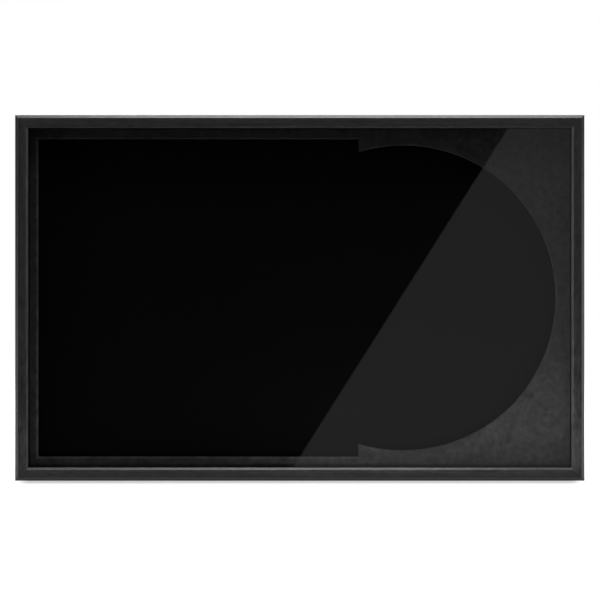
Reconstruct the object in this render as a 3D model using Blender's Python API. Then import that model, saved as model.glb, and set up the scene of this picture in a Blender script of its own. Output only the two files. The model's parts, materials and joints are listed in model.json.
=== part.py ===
# Record display frame: black mitred rails round a glazed window mat, whose one opening
# is a sleeve-sized rectangle joined to a record-sized circle. A nest board behind the mat
# holds the sleeve and the record, and a panel behind it is held in by turn buttons.
# Metres, +Z up, the front towards -Y, standing on the bottom rail.

import math

import bmesh
import bpy
from mathutils import Matrix, Vector

# What the frame shows
record_diameter = 0.3016
sleeve_room = 0.0134  # by how much a sleeve is wider than its record
record_reveal = 0.1924  # how far the round window runs past the sleeve's window

# Window mat
record_lap = 0.00205  # mat over the record's rim
sleeve_side_lap = 0.0012  # mat over the sleeve's left and right edges
sleeve_end_lap = 0.0026  # mat over its top and bottom edges
mat_left = 0.0075  # mat left in sight between the rails and the window
mat_right = 0.013
mat_ends = 0.0093
mat_thickness = 0.003
mat_roll = 0.0012  # radius of the covering where it turns into the window

# Rails
rail_face = 0.0127  # width seen from the front
wall_thickness = 0.008  # wood outside the rabbet
lip_thickness = 0.004
outer_chamfer = 0.0031
inner_bevel_width = 0.0021
inner_bevel_depth = 0.0016
back_chamfer = 0.0006
edge_ease = 0.00045  # radius that softens the long edges
mitre_gap = 0.0001

# What lies in the rabbet, from front to back
glazing_thickness = 0.002
spacer_depth = 0.008
spacer_setback = 0.0003  # spacer behind the lip's edge
nest_depth = 0.008
lining_thickness = 0.002
panel_thickness = 0.003

# Clearances
seat_gap = 0.0003  # between pieces that rest on each other
rabbet_clearance = 0.0006  # round the loose sheets in the rabbet
panel_clearance = 0.0009
pocket_clearance = 0.0015  # round the sleeve and the record in their nest
overrun = 0.001  # how far a cutter passes a face

panel_corner = 0.002
panel_ease = 0.0004

# Turn buttons and their screws
button_eye_radius = 0.0037
button_tip_radius = 0.0023
button_reach = 0.0158  # from the pivot to the middle of the tip
button_thickness = 0.0012
button_ease = 0.00025
screw_shank_radius = 0.0014
screw_head_radius = 0.0029
screw_head_height = 0.0017
head_rim_share = 0.3  # straight rim of a screw's or rivet's head over its height
screw_bite = 0.009  # length in the wood
screw_point = 0.002
recess_length = 0.0032
recess_width = 0.0007
recess_depth = 0.0009

# Nails across the mitres
nail_inset = 0.0026  # from the outer faces to the nail's bend
nail_leg = 0.0048
nail_sheet = 0.0007
nail_depth = 0.0085

# Hangers on the panel
hanger_inset = 0.082  # from the panel's side edges
hanger_drop = 0.058  # from the panel's top edge to the ring's axis
ring_wire_radius = 0.001
ring_half_width = 0.0063
ring_height = 0.0142
ring_corner = 0.0016
ring_bow_share = 0.93  # radius of the lower corners over half the ring's width
strap_width = 0.009
strap_sheet = 0.0008
rivet_drop = 0.0066  # from the ring's axis to the rivet
rivet_shank_radius = 0.0015
rivet_head_radius = 0.0026
rivet_head_height = 0.001
rivet_flare_radius = 0.0023
rivet_flare_height = 0.0007
counterbore_depth = 0.0011

# Wall bumpers
bumper_radius = 0.0036
bumper_height = 0.0049
bumper_ease = 0.0009
bumper_inset = 0.019  # from the frame's sides to the bumper's middle

# Sizes that follow
sleeve_side = record_diameter + sleeve_room
window_width = sleeve_side - 2 * sleeve_side_lap
window_height = sleeve_side - 2 * sleeve_end_lap
window_radius = record_diameter / 2 - record_lap
sight_width = mat_left + window_width + record_reveal + mat_right
sight_height = window_height + 2 * mat_ends
frame_width = sight_width + 2 * rail_face
frame_height = sight_height + 2 * rail_face
sleeve_x = mat_left + window_width / 2 - sight_width / 2
record_x = sight_width / 2 - mat_right - window_radius
middle_z = frame_height / 2
rabbet_width = frame_width - 2 * wall_thickness
rabbet_height = frame_height - 2 * wall_thickness

layers = [glazing_thickness, spacer_depth, mat_thickness, nest_depth, lining_thickness, panel_thickness]
rail_depth = lip_thickness + sum(layers) + seat_gap * len(layers)
front_y = -(rail_depth + seat_gap + bumper_height) / 2
back_y = front_y + rail_depth
glazing_y = front_y + lip_thickness + seat_gap
spacer_y = glazing_y + glazing_thickness + seat_gap
mat_y = spacer_y + spacer_depth + seat_gap
nest_y = mat_y + mat_thickness + seat_gap
lining_y = nest_y + nest_depth + seat_gap
panel_y = lining_y + lining_thickness + seat_gap
fitting_y = back_y + seat_gap  # where what is fixed on the back begins

pivot_inset = wall_thickness / 2
button_hole_radius = screw_shank_radius + seat_gap
pilot_radius = screw_shank_radius + seat_gap
head_y = fitting_y + button_thickness + seat_gap

knuckle_bore = ring_wire_radius + seat_gap
knuckle_radius = knuckle_bore + strap_sheet
strap_thickness = 2 * strap_sheet
ring_y = fitting_y + knuckle_radius
hanger_x = rabbet_width / 2 - panel_clearance - hanger_inset
hanger_z = middle_z + rabbet_height / 2 - panel_clearance - hanger_drop
rivet_hole_radius = rivet_shank_radius + seat_gap
counterbore_radius = rivet_flare_radius + seat_gap
rivet_head_y = fitting_y + strap_thickness + seat_gap

# Counts of facets
window_steps = 40  # along each half of the window's round end
edge_steps = 2
round_steps = 24
wire_steps = 12
ring_corner_steps = 4
ring_bow_steps = 10
roll_steps = 3
corner_steps = 4
dome_steps = 5
side_steps = 4

# The frame's sides: middle of the outer face, and the turn that carries the top rail there
sides = {
    "top": ((0, frame_height), 0, frame_width),
    "right": ((frame_width / 2, middle_z), math.radians(90), frame_height),
    "bottom": ((0, 0), math.radians(180), frame_width),
    "left": ((-frame_width / 2, middle_z), math.radians(-90), frame_height),
}

# Where the buttons sit, as a share of their side's length from its middle
button_shares = {
    "top_left": ("top", -0.25),
    "top_right": ("top", 0.25),
    "right": ("right", 0),
    "bottom_right": ("bottom", -0.25),
    "bottom_left": ("bottom", 0.25),
    "left": ("left", 0),
}
bumper_ends = {
    "top_left": ("top", -1),
    "top_right": ("top", 1),
    "bottom_right": ("bottom", -1),
    "bottom_left": ("bottom", 1),
}


# Materials

def material(name, colour, roughness, metallic=0.0, alpha=1.0):
    made = bpy.data.materials.new(name)
    made.use_nodes = True
    made.diffuse_color = (*colour, alpha)
    surface = made.node_tree.nodes["Principled BSDF"]
    surface.inputs["Base Color"].default_value = (*colour, 1)
    surface.inputs["Roughness"].default_value = roughness
    surface.inputs["Metallic"].default_value = metallic
    surface.inputs["Alpha"].default_value = alpha
    return made


def make_materials():
    return {
        "rail": material("black satin rail", (0.018, 0.018, 0.018), 0.42),
        "glazing": material("clear acrylic", (0.9, 0.92, 0.92), 0.05, alpha=0.12),
        "spacer": material("black spacer", (0.006, 0.006, 0.006), 0.8),
        "mat": material("black suede", (0.012, 0.012, 0.012), 0.95),
        "nest": material("black nest board", (0.006, 0.006, 0.006), 0.9),
        "lining": material("black felt", (0.005, 0.005, 0.005), 0.98),
        "panel": material("brown hardboard", (0.2, 0.115, 0.06), 0.7),
        "steel": material("nickel-plated steel", (0.62, 0.6, 0.56), 0.28, metallic=1.0),
        "nail": material("bright nail steel", (0.5, 0.5, 0.5), 0.4, metallic=1.0),
        "rubber": material("black rubber", (0.02, 0.02, 0.02), 0.85),
    }


# Outlines, as lists of points in a plane

def eased(corners):
    # Each corner is a point, a radius and a number of steps. A corner with a radius
    # becomes an arc that runs smoothly into both of its sides.
    outline = []
    for index, (point, radius, steps) in enumerate(corners):
        point = Vector(point)
        if not radius:
            outline.append(point)
            continue
        arriving = (point - Vector(corners[index - 1][0])).normalized()
        leaving = (Vector(corners[(index + 1) % len(corners)][0]) - point).normalized()
        turn = math.atan2(arriving.cross(leaving), arriving.dot(leaving))
        reach = radius * math.tan(abs(turn) / 2)
        inward = Vector((-arriving.y, arriving.x)) * math.copysign(1, turn)
        centre = point - arriving * reach + inward * radius
        for step in range(steps + 1):
            swing = Matrix.Rotation(turn * step / steps, 2)
            outline.append(centre + swing @ (-inward * radius))
    return outline


def rectangle(width, height, radius=0.0, steps=0):
    half_width = width / 2
    half_height = height / 2
    signs = ((-1, -1), (1, -1), (1, 1), (-1, 1))
    return eased([((x * half_width, z * half_height), radius, steps) for x, z in signs])


def circle(radius, steps=round_steps):
    turns = [2 * math.pi * step / steps for step in range(steps)]
    return [Vector((radius * math.cos(turn), radius * math.sin(turn))) for turn in turns]


def joined_window(width, height, radius):
    # The rectangle of the sleeve and the circle of the record as one outline. Its upper
    # half runs from the circle's right end to where the circle crosses the rectangle's
    # right side, then along the rectangle. The lower half is its mirror image.
    right = sleeve_x + width / 2
    left = right - width
    beside = right - record_x
    sweep = math.atan2(math.sqrt(radius ** 2 - beside ** 2), beside)
    turns = [sweep * step / window_steps for step in range(window_steps + 1)]
    upper = [(record_x + radius * math.cos(turn), radius * math.sin(turn)) for turn in turns]
    upper += [(right, height / 2), (left, height / 2)]
    lower = [(x, -z) for x, z in reversed(upper[1:])]
    return [Vector(point) for point in upper + lower]


def teardrop(eye_radius, tip_radius, reach):
    # The line drawn tightly round a large circle at the pivot and a small one at the tip.
    # Its straight sides have points too, spaced evenly as seen from the pivot.
    lean = math.acos((eye_radius - tip_radius) / reach)
    tip_steps = round_steps // 2
    tip = [lean * (2 * step / tip_steps - 1) for step in range(tip_steps + 1)]
    outline = [(reach + tip_radius * math.cos(turn), tip_radius * math.sin(turn)) for turn in tip]
    nearest = math.atan2(outline[-1][1], outline[-1][0])
    seen = [nearest + (lean - nearest) * step / side_steps for step in range(1, side_steps)]
    side = [(eye_radius / math.cos(lean - turn), turn) for turn in seen]
    outline += [(reach * math.cos(turn), reach * math.sin(turn)) for reach, turn in side]
    eye = [lean + 2 * (math.pi - lean) * step / round_steps for step in range(round_steps + 1)]
    outline += [(eye_radius * math.cos(turn), eye_radius * math.sin(turn)) for turn in eye]
    outline += [(reach * math.cos(turn), -reach * math.sin(turn)) for reach, turn in reversed(side)]
    return [Vector(point) for point in outline]


# Solids

def build(name, points, faces, surface, origin=None, parent=None, smooth_angle=None):
    mesh = bpy.data.meshes.new(name)
    mesh.from_pydata([tuple(point) for point in points], [], faces)
    shape = bmesh.new()
    shape.from_mesh(mesh)
    bmesh.ops.recalc_face_normals(shape, faces=shape.faces)
    shape.to_mesh(mesh)
    shape.free()
    if smooth_angle:
        mesh.shade_smooth()
        mesh.set_sharp_from_angle(angle=smooth_angle)
    if surface:
        mesh.materials.append(surface)
    piece = bpy.data.objects.new(name, mesh)
    bpy.context.scene.collection.objects.link(piece)
    piece.location = origin or (0, 0, 0)
    piece.parent = parent
    return piece


def skinned(rings, ends=True):
    # Rings of equally many points, joined each to the next. The two end rings are closed
    # by flat faces, or joined to each other.
    count = len(rings[0])
    points = [point for ring in rings for point in ring]
    last = len(rings) - 1 if ends else len(rings)
    faces = []
    for row in range(last):
        near = row * count
        far = (row + 1) % len(rings) * count
        for column in range(count):
            beside = (column + 1) % count
            faces.append((near + column, near + beside, far + beside, far + column))
    if ends:
        faces.append(tuple(range(count)))
        faces.append(tuple(range(last * count, (last + 1) * count)))
    return points, faces


def stood(outline, y):
    # An outline in X and Z, placed at a depth.
    return [(point[0], y, point[1]) for point in outline]


def prism(outline, near_y, far_y):
    return skinned([stood(outline, near_y), stood(outline, far_y)])


def turned(profile, steps=round_steps):
    # A profile of radius and depth carried round the Y axis. A radius of zero is a pole.
    points = []
    rows = []
    for radius, y in profile:
        turns = steps if radius else 1
        rows.append([len(points) + step for step in range(turns)])
        for step in range(turns):
            turn = 2 * math.pi * step / steps
            points.append((radius * math.cos(turn), y, radius * math.sin(turn)))
    faces = []
    for near, far in zip(rows, rows[1:]):
        for step in range(steps):
            beside = (step + 1) % steps
            corners = [near[step % len(near)], near[beside % len(near)],
                       far[beside % len(far)], far[step % len(far)]]
            faces.append(tuple(dict.fromkeys(corners)))
    if len(rows[0]) > 1:
        faces.append(tuple(rows[0]))
    if len(rows[-1]) > 1:
        faces.append(tuple(rows[-1]))
    return points, faces


def cutter(name, points, faces, origin=None, parent=None):
    tool = build(name, points, faces, None, origin, parent)
    tool.hide_render = True
    tool.display_type = "WIRE"
    return tool


def boolean(piece, tool, operation="DIFFERENCE"):
    cut = piece.modifiers.new(tool.name, "BOOLEAN")
    cut.operation = operation
    cut.solver = "EXACT"
    cut.object = tool


def side_guides():
    # An empty in the middle of each side's outer face, so that every side is laid out as
    # the top one is: along +X, with the opening below.
    guides = {}
    for side, (middle, turn, length) in sides.items():
        guide = bpy.data.objects.new("guide_" + side, None)
        bpy.context.scene.collection.objects.link(guide)
        guide.location = (middle[0], 0, middle[1])
        guide.rotation_euler = (0, turn, 0)
        guides[side] = guide
    return guides


# Rails

def rail_profile():
    # Distance inward from the outer face, and depth from the front: a chamfered outer edge,
    # the face, a small bevel down to the sight edge, the lip's back and the rabbet wall.
    face_end = rail_face - inner_bevel_width
    return eased([
        ((outer_chamfer, 0), edge_ease, edge_steps),
        ((face_end, 0), edge_ease, edge_steps),
        ((rail_face, inner_bevel_depth), edge_ease, edge_steps),
        ((rail_face, lip_thickness), 0, 0),
        ((wall_thickness, lip_thickness), 0, 0),
        ((wall_thickness, rail_depth), 0, 0),
        ((back_chamfer, rail_depth), 0, 0),
        ((0, rail_depth - back_chamfer), 0, 0),
        ((0, outer_chamfer), edge_ease, edge_steps),
    ])


def make_rail(side, guide, surface):
    # The profile runs the side's length between two mitre planes, so each point of it
    # stops short of the corner by its own distance inward.
    half_length = sides[side][2] / 2 - mitre_gap / math.sqrt(2)
    rings = []
    for end in (-1, 1):
        rings.append([(end * (half_length - inward), front_y + depth, -inward)
                      for inward, depth in rail_profile()])
    points, faces = skinned(rings)
    return build(side + "_rail", points, faces, surface, parent=guide, smooth_angle=math.radians(30))


def bent_outline(clearance):
    # An angle of sheet metal across a mitre: one leg along each rail.
    near = nail_inset - nail_sheet / 2 - clearance
    far = nail_inset + nail_sheet / 2 + clearance
    end = nail_inset + nail_leg + clearance
    corners = ((near, near), (end, near), (end, far), (far, far), (far, end), (near, end))
    return [Vector(corner) for corner in corners]


def add_corner_nails(rails, surface):
    corners = {"top_left": (-1, 1), "top_right": (1, 1), "bottom_left": (-1, -1), "bottom_right": (1, -1)}
    for corner, (x_sign, z_sign) in corners.items():
        place_at = (x_sign * frame_width / 2, 0, middle_z + z_sign * frame_height / 2)
        nail, slot = [[(-x_sign * point.x, -z_sign * point.y) for point in bent_outline(clearance)]
                      for clearance in (0, seat_gap)]
        points, faces = prism(nail, back_y - nail_depth, back_y - seat_gap)
        build("corner_nail_" + corner, points, faces, surface, place_at)
        points, faces = prism(slot, back_y - nail_depth - seat_gap, back_y + overrun)
        tool = cutter("slot_" + corner, points, faces, place_at)
        for side in corner.split("_"):
            boolean(rails[side], tool)


# Sheets in the rabbet

def make_sheet(name, surface, near_y, thickness):
    outline = rectangle(rabbet_width - 2 * rabbet_clearance, rabbet_height - 2 * rabbet_clearance)
    points, faces = prism(outline, near_y, near_y + thickness)
    return build(name, points, faces, surface, (0, 0, middle_z), smooth_angle=math.radians(30))


def make_spacers(surface):
    # The top and bottom strips run the full width, and the side strips stand between them.
    width = rabbet_width - 2 * rabbet_clearance
    height = rabbet_height - 2 * rabbet_clearance
    strip = rail_face - wall_thickness - rabbet_clearance - spacer_setback
    upright = height - 2 * (strip + seat_gap)
    strips = {
        "top": ((width, strip), (0, (height - strip) / 2)),
        "bottom": ((width, strip), (0, (strip - height) / 2)),
        "left": ((strip, upright), ((strip - width) / 2, 0)),
        "right": ((strip, upright), ((width - strip) / 2, 0)),
    }
    for side, (size, (x, z)) in strips.items():
        points, faces = prism(rectangle(*size), spacer_y, spacer_y + spacer_depth)
        build("spacer_" + side, points, faces, surface, (x, 0, middle_z + z))


def make_window_mat(surface):
    # The window opens towards the front along a quarter round, where the covering rolls
    # over the cut edge. The first facet of the cut runs straight on past the mat's face.
    mat = make_sheet("window_mat", surface, mat_y, mat_thickness)
    turns = [math.pi / 2 * (1 - step / roll_steps) for step in range(roll_steps + 1)]
    curve = [(mat_roll * (1 - math.cos(turn)), mat_y + mat_roll * (1 - math.sin(turn))) for turn in turns]
    slope = (curve[0][0] - curve[1][0]) / (curve[1][1] - curve[0][1])
    curve[0] = (curve[0][0] + slope * overrun, curve[0][1] - overrun)
    curve.append((0, mat_y + mat_thickness + overrun))
    rings = []
    for grown, y in curve:
        outline = joined_window(window_width + 2 * grown, window_height + 2 * grown, window_radius + grown)
        rings.append(stood(outline, y))
    boolean(mat, cutter("mat_window", *skinned(rings), (0, 0, middle_z)))
    return mat


def make_record_nest(surface):
    # The pocket follows the sleeve and the record themselves, which the mat laps over.
    nest = make_sheet("record_nest", surface, nest_y, nest_depth)
    outline = joined_window(sleeve_side + 2 * pocket_clearance, sleeve_side + 2 * pocket_clearance,
                            record_diameter / 2 + pocket_clearance)
    points, faces = prism(outline, nest_y - overrun, nest_y + nest_depth + overrun)
    boolean(nest, cutter("nest_pocket", points, faces, (0, 0, middle_z)))
    return nest


def make_back_panel(surface, lining_surface):
    width = rabbet_width - 2 * panel_clearance
    height = rabbet_height - 2 * panel_clearance
    rings = []
    for shrink, y in ((0, panel_y), (0, back_y - panel_ease), (panel_ease, back_y)):
        outline = rectangle(width - 2 * shrink, height - 2 * shrink, panel_corner - shrink, corner_steps)
        rings.append(stood(outline, y))
    panel = build("back_panel", *skinned(rings), surface, (0, 0, middle_z), smooth_angle=math.radians(30))
    points, faces = prism(rectangle(width, height, panel_corner, corner_steps), lining_y,
                          lining_y + lining_thickness)
    build("panel_lining", points, faces, lining_surface, (0, 0, middle_z), smooth_angle=math.radians(30))
    return panel


# Turn buttons and screws

def button_mesh():
    # A flat plate with a hole at its eye. Each point of the outline is paired with the
    # point of the hole that lies in the same direction from the pivot.
    full = teardrop(button_eye_radius, button_tip_radius, button_reach)
    eased_edge = teardrop(button_eye_radius - button_ease, button_tip_radius - button_ease, button_reach)
    hole = [point.normalized() * button_hole_radius for point in full]
    near = fitting_y
    far = fitting_y + button_thickness
    rings = [stood(hole, near), stood(eased_edge, near), stood(full, near + button_ease),
             stood(full, far - button_ease), stood(eased_edge, far), stood(hole, far)]
    return skinned(rings, ends=False)


def dome(radius, base_y, rim, height):
    # A head's profile: a straight rim, then a quarter of an ellipse up to its middle.
    turns = [math.pi / 2 * step / dome_steps for step in range(dome_steps)]
    arc = [(radius * math.cos(turn), base_y + rim + (height - rim) * math.sin(turn)) for turn in turns]
    return [(radius, base_y), *arc, (0, base_y + height)]


def screw_profile():
    bite = back_y - screw_bite
    rim = screw_head_height * head_rim_share
    profile = [(0, bite), (screw_shank_radius, bite + screw_point), (screw_shank_radius, head_y)]
    return profile + dome(screw_head_radius, head_y, rim, screw_head_height)


def cross_outline():
    arm = recess_length / 2
    slot = recess_width / 2
    corner = [(arm, -slot), (arm, slot), (slot, slot)]
    outline = []
    for quarter in range(4):
        swing = Matrix.Rotation(quarter * math.pi / 2, 2)
        outline += [swing @ Vector(point) for point in corner]
    return outline


def add_turn_buttons(guides, rails, surface):
    top_y = head_y + screw_head_height
    floor_y = back_y - screw_bite - seat_gap
    recess = prism(cross_outline(), top_y - recess_depth, top_y + overrun)
    pilot = turned([(0, floor_y), (pilot_radius, floor_y + screw_point), (pilot_radius, back_y + overrun)])
    for name, (side, share) in button_shares.items():
        pivot = (share * sides[side][2], 0, -pivot_inset)
        guide = guides[side]
        build("turn_button_" + name, *button_mesh(), surface, pivot, guide, math.radians(30))
        screw = build("button_screw_" + name, *turned(screw_profile()), surface, pivot, guide,
                      math.radians(40))
        boolean(screw, cutter("recess_" + name, *recess, pivot, guide))
        boolean(rails[side], cutter("pilot_" + name, *pilot, pivot, guide))


# Hangers

def strap_section():
    # Depth and height of the folded sheet seen from the side, from the ring's axis: over
    # the ring's bar, and down the panel as a double thickness.
    tail_face = strap_thickness - knuckle_radius
    tail_end = -(rivet_drop + strap_width)
    last = -math.acos(tail_face / knuckle_radius)
    turns = [math.pi + (last - math.pi) * step / round_steps for step in range(round_steps + 1)]
    outline = [(knuckle_radius * math.cos(turn), knuckle_radius * math.sin(turn)) for turn in turns]
    return outline + [(tail_face, tail_end), (-knuckle_radius, tail_end)]


def strap_plan():
    # The strap seen from behind: straight sides and a round end past the rivet.
    half = strap_width / 2
    top = knuckle_radius + overrun
    end = -rivet_drop - half
    radius = half * ring_bow_share
    return eased([((-half, top), 0, 0), ((half, top), 0, 0),
                  ((half, end), radius, corner_steps), ((-half, end), radius, corner_steps)])


def across(section, half_width):
    # A section in depth and height carried along X.
    return skinned([[(x, y, z) for y, z in section] for x in (-half_width, half_width)])


def add_hanger(side, sign, panel, surface):
    axis = (sign * hanger_x, ring_y, hanger_z)
    wide = strap_width / 2 + overrun
    strap = build("hanger_strap_" + side, *across(strap_section(), wide), surface, axis,
                  smooth_angle=math.radians(35))
    boolean(strap, cutter("knuckle_bore_" + side, *across(circle(knuckle_bore), wide + overrun), axis))
    reach = knuckle_radius + overrun
    boolean(strap, cutter("strap_plan_" + side, *prism(strap_plan(), -reach, reach), axis), "INTERSECT")

    rivet_place = (axis[0], 0, hanger_z - rivet_drop)
    floor_y = panel_y + counterbore_depth
    hole_end = fitting_y + strap_thickness + overrun
    hole = turned([(counterbore_radius, panel_y - overrun), (counterbore_radius, floor_y),
                   (rivet_hole_radius, floor_y), (rivet_hole_radius, hole_end)])
    through = cutter("rivet_hole_" + side, *hole, rivet_place)
    boolean(strap, through)
    boolean(panel, through)
    build("hanger_rivet_" + side, *turned(rivet_profile()), surface, rivet_place,
          smooth_angle=math.radians(40))
    make_ring(side, axis, surface)


def rivet_profile():
    flare_y = panel_y + counterbore_depth - seat_gap
    rim = rivet_head_height * head_rim_share
    profile = [(0, flare_y - rivet_flare_height), (rivet_flare_radius, flare_y - rivet_flare_height / 2),
               (rivet_flare_radius, flare_y), (rivet_shank_radius, flare_y),
               (rivet_shank_radius, rivet_head_y)]
    return profile + dome(rivet_head_radius, rivet_head_y, rim, rivet_head_height)


def make_ring(side, axis, surface):
    # A closed loop of round wire, its straight bar on the hinge's axis.
    bow = ring_half_width * ring_bow_share
    path = eased([
        ((-ring_half_width, 0), ring_corner, ring_corner_steps),
        ((ring_half_width, 0), ring_corner, ring_corner_steps),
        ((ring_half_width, -ring_height), bow, ring_bow_steps),
        ((-ring_half_width, -ring_height), bow, ring_bow_steps),
    ])
    rings = []
    for index, point in enumerate(path):
        along = (path[(index + 1) % len(path)] - path[index - 1]).normalized()
        outward = Vector((-along.y, along.x))
        wire = [(point + outward * across_wire, depth) for across_wire, depth in
                circle(ring_wire_radius, wire_steps)]
        rings.append([(flat.x, depth, flat.y) for flat, depth in wire])
    points, faces = skinned(rings, ends=False)
    build("hanger_ring_" + side, points, faces, surface, axis, smooth_angle=math.radians(60))


# Bumpers

def add_bumpers(guides, surface):
    shoulder = fitting_y + bumper_height - bumper_ease
    inner = bumper_radius - bumper_ease
    turns = [math.pi / 2 * step / roll_steps for step in range(roll_steps + 1)]
    profile = [(bumper_radius, fitting_y)]
    profile += [(inner + bumper_ease * math.cos(turn), shoulder + bumper_ease * math.sin(turn))
                for turn in turns]
    points, faces = turned(profile)
    for name, (side, end) in bumper_ends.items():
        centre = (end * (frame_width / 2 - bumper_inset), 0, -pivot_inset)
        build("wall_bumper_" + name, points, faces, surface, centre, guides[side], math.radians(35))


def build_frame():
    for leftover in list(bpy.data.objects):
        bpy.data.objects.remove(leftover, do_unlink=True)
    surfaces = make_materials()
    guides = side_guides()
    rails = {side: make_rail(side, guides[side], surfaces["rail"]) for side in sides}
    add_corner_nails(rails, surfaces["nail"])
    make_sheet("glazing", surfaces["glazing"], glazing_y, glazing_thickness)
    make_spacers(surfaces["spacer"])
    make_window_mat(surfaces["mat"])
    make_record_nest(surfaces["nest"])
    panel = make_back_panel(surfaces["panel"], surfaces["lining"])
    add_turn_buttons(guides, rails, surfaces["steel"])
    add_hanger("left", -1, panel, surfaces["steel"])
    add_hanger("right", 1, panel, surfaces["steel"])
    add_bumpers(guides, surfaces["rubber"])


build_frame()
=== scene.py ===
# Record display frame: the finish of every surface, the finer pieces and the studio round it.
# Metres, +Z up, the front towards -Y, standing on the floor at z = 0.

import json
import math

import bmesh
import bpy
import numpy as np
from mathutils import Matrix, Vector


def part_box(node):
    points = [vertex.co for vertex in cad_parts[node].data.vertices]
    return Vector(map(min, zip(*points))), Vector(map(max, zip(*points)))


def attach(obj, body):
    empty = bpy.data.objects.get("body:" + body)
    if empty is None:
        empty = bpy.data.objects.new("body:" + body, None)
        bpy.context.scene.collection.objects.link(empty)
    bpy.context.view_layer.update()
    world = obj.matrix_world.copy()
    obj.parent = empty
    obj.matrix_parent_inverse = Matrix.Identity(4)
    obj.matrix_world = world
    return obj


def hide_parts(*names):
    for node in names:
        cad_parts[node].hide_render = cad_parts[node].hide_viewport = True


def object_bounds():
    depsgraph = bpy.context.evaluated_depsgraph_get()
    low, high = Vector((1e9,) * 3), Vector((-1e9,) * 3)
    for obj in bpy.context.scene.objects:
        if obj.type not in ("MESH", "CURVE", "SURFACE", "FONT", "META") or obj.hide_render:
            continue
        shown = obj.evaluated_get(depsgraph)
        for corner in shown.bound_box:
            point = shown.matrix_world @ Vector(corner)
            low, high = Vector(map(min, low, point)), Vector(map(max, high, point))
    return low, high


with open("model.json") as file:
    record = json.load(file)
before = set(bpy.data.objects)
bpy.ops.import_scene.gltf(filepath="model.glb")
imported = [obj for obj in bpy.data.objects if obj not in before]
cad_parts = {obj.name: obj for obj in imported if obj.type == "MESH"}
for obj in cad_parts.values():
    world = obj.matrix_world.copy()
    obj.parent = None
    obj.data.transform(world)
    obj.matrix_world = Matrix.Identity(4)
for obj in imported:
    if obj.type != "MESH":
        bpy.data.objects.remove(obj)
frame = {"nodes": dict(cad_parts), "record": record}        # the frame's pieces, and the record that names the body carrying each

cadBox = [list(corner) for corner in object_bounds()]
nodes = frame["nodes"]
bodies = frame["record"]["behaviour"]["bodies"]
bodyOf = {node: body for body, members in bodies.items() for node in members}
sides = ("top", "right", "bottom", "left")
corners = ("top_left", "top_right", "bottom_left", "bottom_right")
buttons = ("top_left", "top_right", "right", "bottom_right", "bottom_left", "left")
print("frame loaded:", len(nodes), "pieces")


# Shader maths: sums, products and quotients of sockets add Math nodes, and make() adds any other.
class Shade:
    def __init__(self, tree, socket=None):
        self.tree = tree
        self.socket = socket

    # Any node: its settings first, then a value or a link for each socket
    def make(self, kind, settings=None, values=None, out=0):
        node = self.tree.nodes.new("ShaderNode" + kind)
        for name, value in (settings or {}).items():
            setattr(node, name, value)
        for name, value in (values or {}).items():
            if isinstance(value, Shade):
                self.tree.links.new(value.socket, node.inputs[name])
            else:
                node.inputs[name].default_value = value
        return Shade(self.tree, node.outputs[out] if node.outputs else None)

    def maths(self, operation, first, second=0.0):
        return self.make("Math", {"operation": operation}, {0: first, 1: second})

    def __add__(self, other):
        return self.maths("ADD", self, other)

    def __radd__(self, other):
        return self.maths("ADD", other, self)

    def __sub__(self, other):
        return self.maths("SUBTRACT", self, other)

    def __rsub__(self, other):
        return self.maths("SUBTRACT", other, self)

    def __mul__(self, other):
        return self.maths("MULTIPLY", self, other)

    def __rmul__(self, other):
        return self.maths("MULTIPLY", other, self)

    def __truediv__(self, other):
        return self.maths("DIVIDE", self, other)

    # The places of an object's points, stretched by so much along X, Y and Z
    def place(self, stretch=(1, 1, 1)):
        spot = self.make("TexCoord", out="Object")
        return self.make("Mapping", {}, {"Vector": spot, "Scale": stretch})

    # A number that a piece's points carry, between 0 and 1
    def mark(self, name):
        return self.make("Attribute", {"attribute_name": name}, out="Fac")

    # Cloudy noise from 0 to 1 about a half; scale is in waves a metre
    def noise(self, where, scale, detail=2.0, rough=0.5):
        return self.make("TexNoise", {}, {"Vector": where, "Scale": scale, "Detail": detail,
                                          "Roughness": rough})

    # 0 below low, 1 above high, smooth between
    def step(self, value, low, high):
        return self.make("MapRange", {"interpolation_type": "SMOOTHSTEP"},
                         {"Value": value, "From Min": low, "From Max": high})

    # One of two colours, or what lies between
    def mix(self, share, first, second):
        return self.make("Mix", {"data_type": "RGBA"}, {0: share, 6: first, 7: second}, out=2)

    # The surface's slope from a height, of which 1 stands for so many metres
    def bump(self, height, distance):
        return self.make("Bump", {}, {"Height": height, "Distance": distance})


# An empty material and what makes its nodes
def newFinish(name):
    made = bpy.data.materials.new(name)
    made.use_nodes = True
    made.node_tree.nodes.clear()
    return made, Shade(made.node_tree)


# Ends a material with its surface
def finishWith(shade, surface):
    shade.make("OutputMaterial", {}, {"Surface": surface})


# Ends a material with a Principled surface, from a value or a link for each socket
def principled(shade, values):
    finishWith(shade, shade.make("BsdfPrincipled", {}, values))


# Gives nodes of the frame a finish
def dress(names, finish):
    for name in names:
        slots = nodes[name].data.materials
        slots.clear()
        slots.append(finish)


# Satin black lacquer over wood: grain and short flecks run along each rail under an even coat,
# which is rubbed here and there along the edges
railFinish = {"black": 0.0092, "grainSpread": 2.2, "grainAcross": 430, "grainAlong": 9,
              "grainDepth": 0.00008, "fleckSpread": 3.2, "fleckAcross": 420, "fleckAlong": 130,
              "fleckDepth": 0.00014, "cloudSpread": 0.5, "cloudScale": 55, "gloss": 0.42,
              "glossSpread": 0.12, "pebbleScale": 1500, "pebbleDepth": 0.00002, "rubScale": 130,
              "rubFrom": 0.5, "rubTo": 0.75, "rubPaler": 0.8, "rubGloss": 0.08}


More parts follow.
